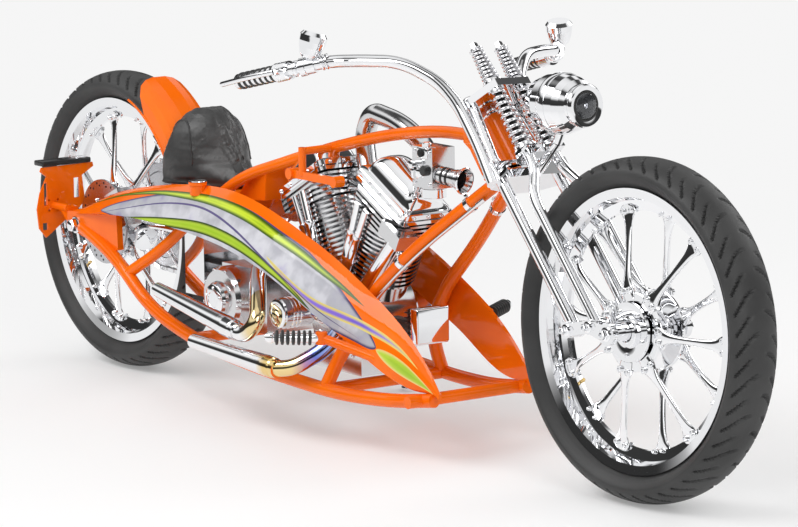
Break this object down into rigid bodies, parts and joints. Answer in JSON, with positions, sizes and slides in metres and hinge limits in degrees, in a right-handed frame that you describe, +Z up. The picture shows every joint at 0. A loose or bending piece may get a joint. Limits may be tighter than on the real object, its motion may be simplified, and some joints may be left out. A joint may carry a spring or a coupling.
{
  "type": "chopper motorcycle with a springer fork and side pods",
  "caption": "Long, low chopper motorcycle with raked springer fork, open V-twin, painted side pods, solo seat, bone-spoke wheels and a side stand.",
  "frame": {"origin": "middle of the footprint box, on the floor, with the motorcycle parked: leaned 3 degrees to its left on the side stand and steered 3.5 degrees left", "axes": "+X forward along the motorcycle, +Y to its left, +Z up"},
  "size_m": [2.7948, 0.8563, 0.9978],
  "materials": {
    "orange_paint": "gloss",
    "pod_paint": "gloss",
    "chrome": "polished",
    "springs_steel": "polished",
    "tyre": "matt",
    "cast_alloy": "cast",
    "leather": "semi-gloss",
    "rubber": "matt",
    "lamp_glass": "clear",
    "lamp_red": "gloss"
  },
  "bodies": {
    "frame": {"backbone": "orange_paint", "brake_line": "springs_steel", "cradle": "orange_paint", "crankcase": "cast_alloy", "cylinders": "cast_alloy", "drive_chain": "springs_steel", "exhausts": "chrome", "filler_caps": "chrome", "foot_pegs": "chrome", "gearbox": "cast_alloy", "intake": "cast_alloy", "lower_rail_left": "orange_paint", "lower_rail_right": "orange_paint", "oil_tank": "chrome", "plate_bracket": "orange_paint", "pod_left": "pod_paint", "pod_right": "pod_paint", "primary_cover": "chrome", "pushrod_tubes": "chrome", "rear_axle": "chrome", "rear_caliper": "cast_alloy", "rear_mudguard": "orange_paint", "regulator": "chrome", "rocker_covers": "chrome", "seat": "leather", "seat_base": "orange_paint", "tail_lamp": "lamp_red"},
    "steering": {"fork_clamps": "chrome", "fork_rear_legs": "chrome", "fork_front_legs": "chrome", "fork_springs": "springs_steel", "fork_rockers": "chrome", "handlebars": "chrome", "grips": "rubber", "headlamp": "chrome", "headlamp_lens": "lamp_glass", "hand_controls": "chrome"},
    "front_wheel": {"front_tyre": "tyre", "front_rim": "chrome", "front_hub": "chrome"},
    "rear_wheel": {"rear_tyre": "tyre", "rear_rim": "chrome", "rear_hub": "chrome", "sprocket_and_disc": "springs_steel"},
    "side_stand": {"side_stand": "chrome"}
  },
  "joints": [
    {"name": "steering", "type": "hinge", "parent": "frame", "child": "steering", "pos_m": [0.53261, 0.00719, 0.74135], "axis": [-0.6691, 0.0389, 0.7421], "range_deg": [-33.5, 26.5]},
    {"name": "front_wheel", "type": "hinge", "parent": "steering", "child": "front_wheel", "pos_m": [1.02745, -0.00504, 0.36933], "axis": [-0.0454, 0.9946, -0.093], "continuous": true},
    {"name": "rear_wheel", "type": "hinge", "parent": "frame", "child": "rear_wheel", "pos_m": [-1.02739, -0.01228, 0.36986], "axis": [0, 0.9986, -0.0523], "continuous": true},
    {"name": "side_stand", "type": "hinge", "parent": "frame", "child": "side_stand", "pos_m": [-0.32739, 0.20075, 0.11636], "axis": [0, 0.9986, -0.0523], "range_deg": [0, 105]}
  ]
}
